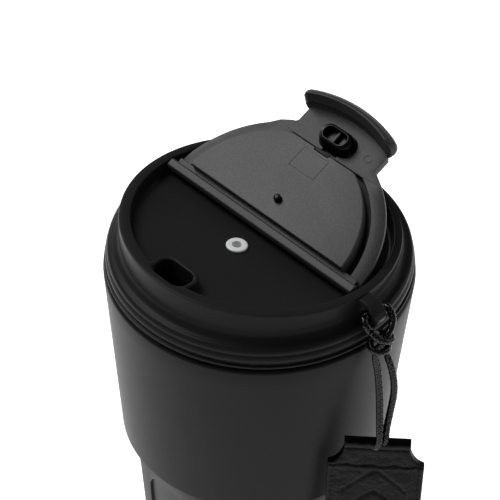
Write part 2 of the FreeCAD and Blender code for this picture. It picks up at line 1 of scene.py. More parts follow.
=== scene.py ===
import bmesh
import bpy
import json
import math
from mathutils import Matrix, Vector, noise
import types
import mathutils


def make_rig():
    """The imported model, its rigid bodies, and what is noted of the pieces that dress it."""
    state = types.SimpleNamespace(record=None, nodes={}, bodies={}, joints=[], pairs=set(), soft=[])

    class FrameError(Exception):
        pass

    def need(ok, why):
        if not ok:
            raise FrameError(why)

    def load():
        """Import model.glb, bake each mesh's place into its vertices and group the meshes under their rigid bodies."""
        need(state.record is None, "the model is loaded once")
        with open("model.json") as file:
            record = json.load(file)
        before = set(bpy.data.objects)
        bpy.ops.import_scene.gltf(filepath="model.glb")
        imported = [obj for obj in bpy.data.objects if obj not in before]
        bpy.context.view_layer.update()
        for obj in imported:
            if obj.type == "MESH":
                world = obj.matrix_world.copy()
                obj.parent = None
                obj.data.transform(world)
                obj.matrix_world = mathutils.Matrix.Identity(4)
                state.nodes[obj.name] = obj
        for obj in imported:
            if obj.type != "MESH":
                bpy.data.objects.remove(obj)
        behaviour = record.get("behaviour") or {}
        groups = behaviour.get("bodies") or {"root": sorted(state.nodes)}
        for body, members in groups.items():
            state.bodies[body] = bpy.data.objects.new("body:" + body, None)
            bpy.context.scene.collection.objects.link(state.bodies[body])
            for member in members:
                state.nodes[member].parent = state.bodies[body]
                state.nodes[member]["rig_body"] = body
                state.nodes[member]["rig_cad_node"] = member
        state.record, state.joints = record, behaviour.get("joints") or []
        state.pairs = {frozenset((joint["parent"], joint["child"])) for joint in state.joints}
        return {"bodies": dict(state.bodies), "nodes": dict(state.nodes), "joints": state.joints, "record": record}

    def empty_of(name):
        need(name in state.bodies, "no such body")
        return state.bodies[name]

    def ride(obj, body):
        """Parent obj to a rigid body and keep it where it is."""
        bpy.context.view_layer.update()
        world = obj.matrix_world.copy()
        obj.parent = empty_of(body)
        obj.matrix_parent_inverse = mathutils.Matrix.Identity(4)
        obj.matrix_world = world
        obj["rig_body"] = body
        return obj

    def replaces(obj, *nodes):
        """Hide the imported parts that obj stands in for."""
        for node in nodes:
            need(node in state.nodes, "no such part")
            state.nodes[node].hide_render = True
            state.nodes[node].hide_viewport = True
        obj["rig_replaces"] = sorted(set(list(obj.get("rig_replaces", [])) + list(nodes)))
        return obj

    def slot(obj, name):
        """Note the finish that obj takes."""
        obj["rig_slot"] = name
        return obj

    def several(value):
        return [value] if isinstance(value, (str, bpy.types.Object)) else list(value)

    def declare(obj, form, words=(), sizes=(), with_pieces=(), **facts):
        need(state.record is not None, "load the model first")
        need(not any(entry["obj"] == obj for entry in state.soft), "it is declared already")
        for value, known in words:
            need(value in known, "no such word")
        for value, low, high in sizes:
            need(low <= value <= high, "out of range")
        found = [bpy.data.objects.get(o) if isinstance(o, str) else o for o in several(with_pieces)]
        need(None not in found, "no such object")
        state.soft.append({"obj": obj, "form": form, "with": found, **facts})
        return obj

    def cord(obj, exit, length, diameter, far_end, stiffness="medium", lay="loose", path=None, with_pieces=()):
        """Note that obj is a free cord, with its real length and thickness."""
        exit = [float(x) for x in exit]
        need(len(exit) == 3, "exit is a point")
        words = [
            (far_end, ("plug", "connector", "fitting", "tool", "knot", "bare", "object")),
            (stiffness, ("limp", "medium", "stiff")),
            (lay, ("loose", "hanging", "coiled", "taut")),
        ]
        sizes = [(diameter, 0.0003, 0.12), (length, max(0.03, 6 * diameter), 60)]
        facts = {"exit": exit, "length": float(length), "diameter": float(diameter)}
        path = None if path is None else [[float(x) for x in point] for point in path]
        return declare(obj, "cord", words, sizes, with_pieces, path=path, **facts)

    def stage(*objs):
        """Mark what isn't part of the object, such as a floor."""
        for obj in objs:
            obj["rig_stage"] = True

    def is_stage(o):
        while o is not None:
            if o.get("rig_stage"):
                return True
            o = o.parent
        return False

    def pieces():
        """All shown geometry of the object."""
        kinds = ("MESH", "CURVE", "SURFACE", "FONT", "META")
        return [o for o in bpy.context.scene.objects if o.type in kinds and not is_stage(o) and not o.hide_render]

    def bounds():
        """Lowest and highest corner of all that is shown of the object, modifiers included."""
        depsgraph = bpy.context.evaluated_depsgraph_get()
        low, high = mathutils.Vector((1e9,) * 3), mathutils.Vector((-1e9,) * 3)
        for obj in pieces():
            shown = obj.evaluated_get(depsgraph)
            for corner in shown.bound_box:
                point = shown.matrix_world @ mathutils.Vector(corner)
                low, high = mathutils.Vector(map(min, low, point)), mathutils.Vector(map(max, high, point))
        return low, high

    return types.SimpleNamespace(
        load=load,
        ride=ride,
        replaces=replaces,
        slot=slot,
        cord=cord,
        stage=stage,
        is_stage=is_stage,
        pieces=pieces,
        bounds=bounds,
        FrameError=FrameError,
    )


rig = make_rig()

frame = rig.load()
cad_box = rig.bounds()

MM = 0.001
SEAT = 152.0                    # height of the lid's seat above the base, mm
record = frame["record"]


def mm(x, y, z=0.0):
    """A point in metres from millimetres, with its height above the lid's seat."""
    return Vector((x, y, z + SEAT)) * MM


# ---------------------------------------------------------------- camera

VIEW_BEARING, VIEW_RISE = math.radians(-45.615), math.radians(43.418)
VIEW_ROLL = math.radians(1.652)
VIEW_DISTANCE, VIEW_RIGHT, VIEW_UP = 665.54, -2.804, -1.103
LENS, VIEW_SHIFT = 165.7, 0.0222


def make_camera():
    """Camera aimed from a bearing and a rise, rolled a little, with the lid near the picture's middle."""
    towards = Vector((math.cos(VIEW_RISE) * math.cos(VIEW_BEARING),
                      math.cos(VIEW_RISE) * math.sin(VIEW_BEARING), math.sin(VIEW_RISE)))
    right = Vector((-math.sin(VIEW_BEARING), math.cos(VIEW_BEARING), 0))
    up = towards.cross(right)
    side = math.cos(VIEW_ROLL) * right + math.sin(VIEW_ROLL) * up
    top = math.cos(VIEW_ROLL) * up - math.sin(VIEW_ROLL) * right
    place = towards * VIEW_DISTANCE + right * VIEW_RIGHT + up * VIEW_UP
    data = bpy.data.cameras.new("camera")
    data.lens = LENS
    data.sensor_width = 36.0
    data.shift_y = VIEW_SHIFT
    data.clip_start = 0.01
    camera = bpy.data.objects.new("camera", data)
    bpy.context.scene.collection.objects.link(camera)
    rotation = Matrix((side, top, towards)).transposed()
    camera.matrix_world = Matrix.Translation(mm(*place)) @ rotation.to_4x4()
    bpy.context.scene.camera = camera


make_camera()


# ---------------------------------------------------------------- materials

def node_material(name, colour, roughness, speck, speck_size, bump, bump_size,
                  patch=0.15, patch_size=30.0, coat=0.0, specular=0.5, metallic=0.0):
    """Moulded or coated surface: slow colour patches, fine specks, fine bump and uneven roughness."""
    material = bpy.data.materials.new(name)
    material.use_nodes = True
    tree = material.node_tree
    shader = tree.nodes["Principled BSDF"]
    place = tree.nodes.new("ShaderNodeTexCoord")

    def grain_node(size, detail=3.0):
        node = tree.nodes.new("ShaderNodeTexNoise")
        node.inputs["Scale"].default_value = 1000.0 / size
        node.inputs["Detail"].default_value = detail
        tree.links.new(place.outputs["Object"], node.inputs["Vector"])
        return node

    slow, fine = grain_node(patch_size), grain_node(speck_size, 2.0)
    tint = tree.nodes.new("ShaderNodeMix")
    tint.data_type = "RGBA"
    dark = [c * (1 - patch) for c in colour]
    light = [c * (1 + patch) for c in colour]
    tint.inputs["A"].default_value = (*dark, 1)
    tint.inputs["B"].default_value = (*light, 1)
    tree.links.new(slow.outputs["Fac"], tint.inputs["Factor"])
    specks = tree.nodes.new("ShaderNodeMix")
    specks.data_type = "RGBA"
    specks.blend_type = "MULTIPLY"
    specks.inputs["Factor"].default_value = 1.0
    ramp = tree.nodes.new("ShaderNodeMapRange")
    ramp.inputs["From Min"].default_value = 0.3
    ramp.inputs["From Max"].default_value = 0.7
    ramp.inputs["To Min"].default_value = 1 - speck
    ramp.inputs["To Max"].default_value = 1 + speck
    tree.links.new(fine.outputs["Fac"], ramp.inputs["Value"])
    tree.links.new(tint.outputs["Result"], specks.inputs["A"])
    tree.links.new(ramp.outputs["Result"], specks.inputs["B"])
    tree.links.new(specks.outputs["Result"], shader.inputs["Base Color"])
    rough = tree.nodes.new("ShaderNodeMapRange")
    rough.inputs["To Min"].default_value = roughness - 0.05
    rough.inputs["To Max"].default_value = roughness + 0.05
    tree.links.new(slow.outputs["Fac"], rough.inputs["Value"])
    tree.links.new(rough.outputs["Result"], shader.inputs["Roughness"])
    if bump:
        grain = grain_node(bump_size, 2.0)
        relief = tree.nodes.new("ShaderNodeBump")
        relief.inputs["Strength"].default_value = 1.0
        relief.inputs["Distance"].default_value = bump * MM
        tree.links.new(grain.outputs["Fac"], relief.inputs["Height"])
        tree.links.new(relief.outputs["Normal"], shader.inputs["Normal"])
    shader.inputs["Metallic"].default_value = metallic
    shader.inputs["Specular IOR Level"].default_value = specular
    shader.inputs["Coat Weight"].default_value = coat
    return material


# name, colour, roughness, speck, speck size in mm, bump height in mm, bump size in mm, other values
FINISHES = [
    ("shell_paint", (0.005, 0.005, 0.0053), 0.40, 0.12, 0.3, 0.015, 0.35, {"specular": 0.09}),
    ("liner_steel", (0.5, 0.5, 0.51), 0.3, 0.03, 0.5, 0.0, 0.3, {"metallic": 1.0}),
    ("seal_glass", (0.3, 0.33, 0.3), 0.2, 0.0, 0.4, 0.0, 0.3, {}),
    ("getter_metal", (0.3, 0.29, 0.28), 0.6, 0.0, 0.4, 0.0, 0.3, {"metallic": 1.0}),
    ("pad_rubber", (0.012, 0.012, 0.013), 0.7, 0.1, 0.5, 0.02, 0.5, {"specular": 0.3}),
    ("sleeve_rubber", (0.012, 0.012, 0.013), 0.5, 0.1, 0.4, 0.02, 0.4, {"specular": 0.3}),
    ("lid_plastic", (0.013, 0.013, 0.0134), 0.34, 0.1, 0.3, 0.006, 0.35, {"specular": 0.05}),
    # thumb lip's finish: satin roughness and specular, with a colour lighter than flap_plastic that is a painted
    # highlight
    ("lip_satin", (0.034, 0.0343, 0.0353), 0.42, 0.1, 0.3, 0.0015, 0.35, {"specular": 0.16}),
    ("skirt_plastic", (0.012, 0.012, 0.013), 0.4, 0.06, 0.4, 0.005, 0.4, {}),
    ("seal_silicone", (0.5, 0.5, 0.48), 0.45, 0.03, 0.5, 0.005, 0.5, {}),
    ("vent_silicone", (0.62, 0.63, 0.63), 0.32, 0.02, 0.5, 0.004, 0.6, {"coat": 0.2}),
    ("pin_steel", (0.03, 0.03, 0.032), 0.35, 0.05, 0.5, 0.0, 0.3, {"metallic": 1.0}),
    ("flap_plastic", (0.026, 0.0265, 0.0275), 0.5, 0.3, 0.5, 0.03, 0.5, {"specular": 0.3}),
    ("panel_plastic", (0.029, 0.0295, 0.0305), 0.5, 0.4, 0.5, 0.035, 0.5, {"specular": 0.38}),
    ("plug_silicone", (0.0025, 0.0025, 0.0028), 0.26, 0.05, 0.4, 0.004, 0.4, {"specular": 0.14}),
    ("cord_braid", (0.0012, 0.0012, 0.0014), 0.2, 0.2, 0.25, 0.002, 0.12, {"specular": 0.35}),
    ("tag_leather", (0.0014, 0.0013, 0.0013), 0.3, 0.15, 0.7, 0.2, 0.6, {"specular": 0.07}),
    ("tag_backing", (0.002, 0.0019, 0.0019), 0.5, 0.15, 0.8, 0.06, 0.7, {"specular": 0.1}),
]
MATERIALS = {name: node_material(name, *values, **others) for name, *values, others in FINISHES}

slots = {part["node"]: part["material_slot"] for part in record["subparts"]}
for name, item in frame["nodes"].items():
    item.data.materials.clear()
    item.data.materials.append(MATERIALS[slots[name]])


# ---------------------------------------------------------------- mesh helpers

def dress(mesh, name, body, slot_name, replaced=(), smooth_angle=35, finish=None):
    """Tidy a mesh, give it its material and put it on its body."""
    made = bmesh.new()
    made.from_mesh(mesh)
    bmesh.ops.remove_doubles(made, verts=made.verts, dist=0.004 * MM)
    bmesh.ops.dissolve_degenerate(made, edges=made.edges, dist=0.002 * MM)
    bmesh.ops.recalc_face_normals(made, faces=made.faces)
    for edge in made.edges:
        edge.smooth = len(edge.link_faces) == 2 and edge.calc_face_angle() < math.radians(smooth_angle)
    for face in made.faces:
        face.smooth = True
    made.to_mesh(mesh)
    made.free()
    piece = bpy.data.objects.new(name, mesh)
    bpy.context.scene.collection.objects.link(piece)
    mesh.materials.clear()
    mesh.materials.append(MATERIALS[finish or slot_name])
    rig.ride(piece, body)
    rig.slot(piece, slot_name)
    if replaced:
        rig.replaces(piece, *replaced)
    return piece


def mesh_of(points, faces):
    mesh = bpy.data.meshes.new("part")
    mesh.from_pydata([mm(*p) for p in points], [], faces)
    made = bmesh.new()
    made.from_mesh(mesh)
    bmesh.ops.remove_doubles(made, verts=made.verts, dist=0.002 * MM)
    bmesh.ops.recalc_face_normals(made, faces=made.faces)
    made.to_mesh(mesh)
    made.free()
    return mesh


def with_modifiers(mesh, add):
    """Mesh left after the modifiers that add() puts on it."""
    item = bpy.data.objects.new("working", mesh)
    bpy.context.scene.collection.objects.link(item)
    add(item)
    graph = bpy.context.evaluated_depsgraph_get()
    done = bpy.data.meshes.new_from_object(item.evaluated_get(graph))
    bpy.data.objects.remove(item)
    return done


def combined(mesh, tool, operation):
    """Exact boolean of two closed meshes."""
    other = bpy.data.objects.new("tool", tool)
    bpy.context.scene.collection.objects.link(other)

    def add(item):
        change = item.modifiers.new("boolean", "BOOLEAN")
        change.operation = operation
        change.solver = "EXACT"
        change.object = other

    done = with_modifiers(mesh, add)
    bpy.data.objects.remove(other)
    return done


def bevelled(mesh, width, segments=3, angle=32):
    """Round every edge sharper than the angle, by a width in millimetres."""
    def add(item):
        edge = item.modifiers.new("bevel", "BEVEL")
        edge.width = width * MM
        edge.segments = segments
        edge.limit_method = "ANGLE"
        edge.angle_limit = math.radians(angle)
        edge.use_clamp_overlap = True

    return with_modifiers(mesh, add)


def arc_line(outline, step=0.35):
    """Points of a line of (x, y[, radius, side]) corners; an arc bulges left or right of its chord."""
    points = []
    for item, following in zip(outline, outline[1:]):
        start, end = Vector(item[:2]), Vector(following[:2])
        points.append(tuple(start))
        if len(item) == 2:
            continue
        radius, side = item[2], 1 if item[3] == "left" else -1
        chord = end - start
        normal = Vector((-chord.y, chord.x)).normalized() * side
        reach = math.sqrt(max(radius ** 2 - (chord.length / 2) ** 2, 0))
        centre = (start + end) / 2 - normal * reach
        first, last = start - centre, end - centre
        turn = -side * first.angle(last)
        count = max(2, math.ceil(abs(turn) * radius / step))
        for index in range(1, count):
            spin = Matrix.Rotation(turn * index / count, 2)
            points.append(tuple(centre + spin @ first))
    points.append(tuple(outline[-1][:2]))
    return points


def lathe(profile, place=lambda x, y, z, extra: (x, y, z), segments=256):
    """Closed mesh turned from a profile of (radius, height[, extras]); place maps each point."""
    points, rings = [], []
    for entry in profile:
        radius, height, extra = entry[0], entry[1], entry[2:]
        if radius == 0:
            points.append(place(0, 0, height, extra))
            rings.append([len(points) - 1] * segments)
            continue
        ring = []
        for index in range(segments):
            bearing = 2 * math.pi * index / segments
            points.append(place(radius * math.cos(bearing), radius * math.sin(bearing), height, extra))
            ring.append(len(points) - 1)
        rings.append(ring)
    faces = []
    pairs = list(zip(rings, rings[1:]))
    if profile[0][0] != 0:
        pairs.append((rings[-1], rings[0]))
    for lower, upper in pairs:
        for index in range(segments):
            after = (index + 1) % segments
            face = list(dict.fromkeys([lower[index], lower[after], upper[after], upper[index]]))
            if len(face) > 2:
                faces.append(face)
    return mesh_of(points, faces)


def band_faces(levels, size, start=0):
    """Four-sided faces between equal rings of points that follow one another."""
    faces = []
    for level in range(levels):
        base = start + level * size
        for index in range(size):
            after = (index + 1) % size
            faces.append((base + index, base + after, base + size + after, base + size + index))
    return faces


def through_rings(points, size):
    """Closed mesh through equal rings of points, capped at both ends."""
    faces = band_faces(len(points) // size - 1, size)
    faces.append(tuple(reversed(range(size))))
    faces.append(tuple(range(len(points) - size, len(points))))
    return mesh_of(points, faces)


def loft(loops, place=lambda x, y, z: (x, y, z)):
    """Closed mesh through equal outlines, given as (points, height), capped at both ends."""
    points = []
    for outline, height in loops:
        points += [place(x, y, height) for x, y in outline]
    return through_rings(points, len(loops[0][0]))


def slab(points, rows, columns):
    """Closed mesh of two equal grids of points, one after the other, joined along their rims."""
    wide = columns + 1
    back = (rows + 1) * wide
    faces = []
    for row in range(rows):
        for column in range(columns):
            a = row * wide + column
            faces.append((a, a + 1, a + wide + 1, a + wide))
            faces.append((back + a, back + a + wide, back + a + wide + 1, back + a + 1))
    rim = list(range(wide))
    rim += [row * wide + columns for row in range(1, rows + 1)]
    rim += [rows * wide + column for column in reversed(range(columns))]
    rim += [row * wide for row in reversed(range(1, rows))]
    for here, after in zip(rim, rim[1:] + rim[:1]):
        faces.append((here, back + here, back + after, after))
    return mesh_of(points, faces)


def slot_outline(length, width, corner, centre=(0, 0), steps=10):
    """Rectangle with rounded corners, with the same number of points whatever its size."""
    points = []
    for quarter, (sx, sy) in enumerate(((1, 1), (-1, 1), (-1, -1), (1, -1))):
        cx, cy = sx * (length / 2 - corner), sy * (width / 2 - corner)
        for step in range(steps + 1):
            bearing = math.pi / 2 * (quarter + step / steps)
            x = centre[0] + cx + corner * math.cos(bearing)
            points.append((x, centre[1] + cy + corner * math.sin(bearing)))
    return points


def sweep(path, section, ups):
    """Closed mesh of a section of (across, up) points carried along a path with its own up vectors."""
    points = []
    for index, here in enumerate(path):
        ahead = path[min(index + 1, len(path) - 1)] - path[max(index - 1, 0)]
        forward = ahead.normalized()
        across = forward.cross(ups[index]).normalized()
        up = across.cross(forward)
        points += [tuple(here + across * a + up * b) for a, b in section]
    return through_rings(points, len(section))


def joined(meshes):
    """One mesh that holds all the given ones."""
    made = bmesh.new()
    for mesh in meshes:
        made.from_mesh(mesh)
    result = bpy.data.meshes.new("joined")
    made.to_mesh(result)
    made.free()
    return result


# ---------------------------------------------------------------- mug body

FLOOR_LEVEL = -SEAT             # the base's height, measured from the lid's seat
SLEEVE_TOP, SLEEVE_RADIUS = 88.0, 37.7      # height above the base, and radius there
SLEEVE_TAPER = 0.0752           # radius lost per mm downwards
RECESSES = 8


def from_base(profile):
    """A profile given from the base, as one given from the lid's seat."""
    return [(entry[0], entry[1] + FLOOR_LEVEL) for entry in profile]


def make_outer_shell():
    """Painted steel shell: rolled mouth, long taper, a step, and the lower wall inside the sleeve."""
    profile = arc_line([
        (39.0, 151.3), (43.8, 151.3, 1.5, "left"), (45.3, 149.8), (40.75, 88.6, 0.5, "left"), (40.3, 88.0),
        (36.3, 88.0, 0.8, "right"), (35.5, 87.2), (29.26, 5.0), (28.56, 5.0), (34.8, 88.0), (35.2, 88.7),
        (39.9, 88.7), (44.6, 149.1), (44.6, 150.6), (39.0, 150.6),
    ], 0.3)
    fine, longest = [], 6.0
    for before, after in zip(profile, profile[1:]):
        parts = max(1, round(abs(after[1] - before[1]) / longest))
        for k in range(parts):
            radius = before[0] + (after[0] - before[0]) * k / parts
            fine.append((radius, before[1] + (after[1] - before[1]) * k / parts))
    fine.append(profile[-1])
    dress(lathe(from_base(fine)), "steel_shell", "mug", "shell_paint", ["outer_shell"], 40)


def recess_cutter(bearing):
    """Closed block with an arched outline whose inner face follows the sleeve's cone."""
    half, top, foot, depth, reach, corner = 10.0, 80.5, 22.0, 1.1, 4.0, 2.5
    columns, rows = 24, 14
    forward = Vector((math.cos(bearing), math.sin(bearing), 0))
    side = Vector((-math.sin(bearing), math.cos(bearing), 0))
    points = []
    for beyond in (-depth, reach):
        for column in range(columns + 1):
            turn = math.pi * (column / columns - 0.5)
            across = half * math.sin(turn)
            ceiling = top - half + half * math.cos(turn)
            share = max(0.0, abs(across) - half + corner) / corner
            floor = foot + corner * (1 - math.sqrt(max(0.0, 1 - share ** 2)))
            for row in range(rows + 1):
                height = floor + (ceiling - floor) * row / rows
                wall_radius = SLEEVE_RADIUS - SLEEVE_TAPER * (SLEEVE_TOP - height)
                away = math.sqrt((wall_radius + beyond) ** 2 - across ** 2)
                rise = Vector((0, 0, height + FLOOR_LEVEL))
                points.append(tuple(forward * away + side * across + rise))
    return slab(points, columns, rows)


def make_grip_sleeve():
    """Rubber sleeve with eight arched finger recesses, each with rounded edges."""
    wall = lathe(from_base(arc_line([
        (29.3, 5.0), (30.9, 5.0, 0.6, "right"), (31.5, 5.6), (37.3, 87.2, 0.6, "right"), (36.8, 87.8),
        (35.6, 87.8),
    ])))
    for index in range(RECESSES):
        bearing = 2 * math.pi * index / RECESSES - math.pi / 2
        wall = combined(wall, recess_cutter(bearing), "DIFFERENCE")
    dress(bevelled(wall, 0.35, 3, 40), "rubber_sleeve", "mug", "sleeve_rubber", ["grip_sleeve"], 30)


def make_base_pad():
    """Rubber foot with a shallow hollow in its underside."""
    profile = from_base(arc_line([
        (0.0, 0.6), (12.0, 0.6), (12.6, 0.0), (29.9, 0.0, 1.0, "right"), (30.9, 1.0),
        (30.9, 4.4, 0.3, "right"), (30.6, 4.7), (29.1, 5.0), (24.9, 5.0), (24.9, 3.6), (0.0, 3.6),
    ]))
    dress(lathe(profile), "rubber_foot", "mug", "pad_rubber", ["base_pad"], 40)


make_outer_shell()
make_grip_sleeve()
make_base_pad()


# ---------------------------------------------------------------- lid cover

TILT = math.radians(5.143)      # the rim rises towards the drinking side
WELL_SHIFT = 0.75
RIM_HEIGHT, DECK_HEIGHT = 13.95, 9.6
HOLE_Y, VENT_Y = -34.25, -9.45  # middles of the drinking hole and the vent


def tilted(x, y, z):
    """Point of the tilted deck and rim, whose height is given on the mug's axis."""
    return x, y, z - y * math.tan(TILT)


def on_vent(x, y, z, extra):
    return tilted(x, y + VENT_Y, z + DECK_HEIGHT)


def around_hole(length, width, corner):
    return slot_outline(length, width, corner, (0, HOLE_Y))


def make_lid_cover():
    """Flange with two beads, wall, slanted rim, sunk deck, and the hole with its raised edge."""
    flange = arc_line([
        (36.2, 0.0), (38.9, 0.0), (38.9, 1.6), (43.0, 1.6), (43.0, 0.0),
        (44.75, 0.0, 0.25, "right"), (45.0, 0.25), (45.0, 0.55, 0.3, "right"), (44.7, 0.85),
        (44.35, 0.95, 0.35, "left"), (44.3, 1.4, 2.3, "right"), (44.15, 4.1, 0.45, "left"),
        (44.1, 4.5, 1.5, "right"), (42.8, 6.4, 3.1, "left"), (40.35, 8.9),
    ])
    profile = [(radius, height, 0.0, 0.0) for radius, height in flange]
    # the wall takes up the rim's tilt little by little
    foot, top = 8.9, RIM_HEIGHT - 0.45
    for share in (0.15, 0.3, 0.45, 0.6, 0.75, 0.9):
        weight = share * share * (3 - 2 * share)
        profile.append((40.35 + 0.25 * share, foot + (top - foot) * share, weight, 0.0))
    rim = arc_line([
        (40.6, top, 0.4, "right"), (40.2, RIM_HEIGHT), (38.2, RIM_HEIGHT, 0.6, "right"),
        (37.65, RIM_HEIGHT - 0.45), (37.2, DECK_HEIGHT + 1.3, 1.3, "left"), (35.9, DECK_HEIGHT),
    ])
    inside = 38.6
    for radius, height in rim:
        profile.append((radius, height, 1.0, 1.0 if radius < inside else 0.0))
    profile += [(radius, DECK_HEIGHT, 1.0, 1.0) for radius in (24.0, 12.0, 0.0)]
    profile += [(radius, DECK_HEIGHT - 2.4, 1.0, 0.0) for radius in (0.0, 18.0, 35.5)]
    profile.append((36.2, DECK_HEIGHT - 2.6, 1.0, 0.0))

    def place(x, y, z, extra):
        tilt, shift = extra
        return x, y + shift * WELL_SHIFT, z - y * math.tan(TILT) * tilt

    cover = lathe(profile, place)

    drop = 0.35
    outline = around_hole(14.9, 10.3, 4.3)
    top = RIM_HEIGHT - drop
    boss = loft([(outline, DECK_HEIGHT - 1.2), (outline, top - 0.5),
                 (around_hole(14.5, 9.9, 4.1), top - 0.15), (around_hole(14.0, 9.4, 3.9), top)], tilted)
    bound = lathe([(0, 4), (39.4, 4), (39.4, 24), (0, 24)])
    boss = combined(boss, bound, "INTERSECT")
    cover = combined(cover, boss, "UNION")
    bore, mouth = around_hole(12.0, 7.4, 3.0), around_hole(13.2, 8.6, 3.5)
    opening = loft([(bore, DECK_HEIGHT - 6), (bore, top - 0.45), (around_hole(12.4, 7.8, 3.2), top - 0.15),
                    (mouth, top + 0.05), (mouth, top + 3)], tilted)
    cover = combined(cover, opening, "DIFFERENCE")
    vent = lathe([(0, -6), (2.9, -6), (2.9, 6), (0, 6)], on_vent, segments=64)
    cover = combined(cover, vent, "DIFFERENCE")
    dress(cover, "lid_cover_shell", "lid", "lid_plastic", ["lid_cover"], 30)


make_lid_cover()


def make_vent_grommet():
    """Low silicone disc with a dimple, and its neck through the deck."""
    profile = arc_line([
        (0.0, -3.4), (3.1, -3.4), (3.3, -3.2), (3.3, -2.6), (2.8, -2.5), (2.8, 0.02),
        (2.95, 0.02, 0.4, "right"), (3.2, 0.3), (3.15, 0.55, 0.5, "right"), (2.7, 0.88),
        (1.55, 0.9, 0.2, "right"), (1.35, 0.7), (1.25, -1.1, 0.3, "left"), (0.0, -1.3),
    ], 0.12)
    shape = lathe(profile, on_vent, segments=96)
    dress(shape, "vent_grommet_disc", "lid", "vent_silicone", ["vent_grommet"], 50)


make_vent_grommet()


def make_lug():
    """Moulded strap that bridges from the rim down to the flange, with an eye behind it."""
    spine = arc_line([
        (38.9, 12.5), (41.6, 12.7), (43.2, 12.5, 3.4, "left"), (46.4, 9.6, 4.2, "left"), (45.0, 6.2),
        (42.6, 4.6),
    ], 0.2)
    path = [Vector((x, 0, z)) for x, z in spine]
    ups = []
    for index in range(len(path)):
        ahead = (path[min(index + 1, len(path) - 1)] - path[max(index - 1, 0)]).normalized()
        ups.append(Vector((-ahead.z, 0, ahead.x)))
    section = slot_outline(4.6, 1.7, 0.5, steps=5)
    dress(sweep(path, section, ups), "lanyard_lug_strap", "lid", "lid_plastic", ["lanyard_lug"], 40)


make_lug()


# ---------------------------------------------------------------- flap

HINGE = (-0.4, 12.8)            # hinge axis, y and height above the lid's seat
OPEN_ANGLE = math.radians(23.24)
PLANE_DROP = 0.7
RING_CENTRE, RING_OUTER, RING_INNER = -0.4, 36.6, 32.5
PLATE, GROOVE = 2.5, 1.9
CHORD, TAB_HALF, TAB_RADIUS = 29.1, 15.4, 41.6
BREAK_LINE = 29.9               # beyond this line the ring lies flat with the tab
PANEL_TOP = 3.1
PLUG_Y, STOPPER_Y = 33.9, 8.8


def on_flap(x, y, height, extra=None):
    """Point given along the open flap, y from the hinge and height above its inner plane."""
    above = height - PLANE_DROP
    along = HINGE[0] + y * math.cos(OPEN_ANGLE) - above * math.sin(OPEN_ANGLE)
    rise = HINGE[1] + y * math.sin(OPEN_ANGLE) + above * math.cos(OPEN_ANGLE)
    return x, along, rise


def ring_side(side):
    """Half of the ring, from the hinge round to the tab; its face falls away from the tab's plane."""
    start = math.asin((2.2 - RING_CENTRE) / RING_OUTER)
    stop = math.asin((CHORD + 0.9 - RING_CENTRE) / RING_INNER)
    count = 64
    points = []
    for index in range(count + 1):
        bearing = start + (stop - start) * index / count

        def at(radius, height):
            return side * radius * math.cos(bearing), RING_CENTRE + radius * math.sin(bearing), height

        def sunk(radius):
            y = at(radius, 0)[1]
            fall = max(0.0, BREAK_LINE - y)
            return -0.03 - 0.005 * fall - 0.12 * min(fall, 2.0) * (radius - RING_INNER)

        outline = [at(RING_INNER - 1.5, -PLATE), at(RING_OUTER - 0.35, -PLATE)]
        outline.append(at(RING_OUTER, -PLATE + 0.35))
        outline += [at(radius, sunk(radius) - drop) for radius, drop in (
            (RING_OUTER, 0.35), (RING_OUTER - 0.1, 0.1), (RING_OUTER - 0.35, 0.0), (RING_INNER + 0.3, 0.0),
            (RING_INNER + 0.08, 0.08), (RING_INNER, 0.3))]
        outline += [at(RING_INNER, -GROOVE - 0.1), at(RING_INNER - 1.5, -GROOVE - 0.1)]
        points += [on_flap(*p) for p in outline]
    return through_rings(points, len(outline))


def tab_outline(low_y, outer, half, far, corner):
    """The ring's edge up from a line, round the tab and down again, with a fillet at the tab's roots."""
    low_x = math.sqrt(outer ** 2 - (low_y - RING_CENTRE) ** 2)
    reach = math.sqrt(outer ** 2 - half ** 2) + RING_CENTRE
    fillet, aside, below, above = 1.3, 1.2, 0.55, 0.9
    left = [(-low_x, low_y, outer, "left"), (-half - aside, reach - below, fillet, "right"),
            (-half, reach + above)]
    right = [(half, reach + above, fillet, "right"), (half + aside, reach - below, outer, "left"),
             (low_x, low_y)]
    if corner:
        left.append((-half, far - 2 * corner))
        right.insert(0, (half, far - 2 * corner))
    return arc_line(left + [(-half + corner, far, TAB_RADIUS, "left"), (half - corner, far)] + right)


def flap_tab():
    """Flat tab between the chord and the lip, with rounded corners where it meets the ring."""
    corner = 0.6
    far = math.sqrt(TAB_RADIUS ** 2 - (TAB_HALF - corner) ** 2)
    outline = tab_outline(BREAK_LINE, RING_OUTER, TAB_HALF, far, corner)
    chord_x = math.sqrt(RING_INNER ** 2 - (CHORD - RING_CENTRE) ** 2)
    outline += [(chord_x, CHORD), (-chord_x, CHORD)]
    block = loft([(outline, -PLATE), (outline, 0.0)], on_flap)
    return bevelled(block, 0.22, 3, 40)


def flap_cap_and_web():
    """Black outer cap, which is also the groove's floor, and the web that reaches the barrel."""
    inset, low_y, thickness = 0.3, 2.4, 0.7
    outer, half = RING_OUTER - inset, TAB_HALF - inset
    far = math.sqrt((TAB_RADIUS - inset) ** 2 - half ** 2)
    outline = tab_outline(low_y, outer, half, far, 0)
    cap = bevelled(loft([(outline, -PLATE - thickness), (outline, -GROOVE)], on_flap), 0.6, 4, 40)
    edge = 35.7
    web = [(-edge, 0.4), (edge, 0.4), (edge, 3.2), (-edge, 3.2)]
    return cap, bevelled(loft([(web, -0.7), (web, 0.75)], on_flap), 0.2)


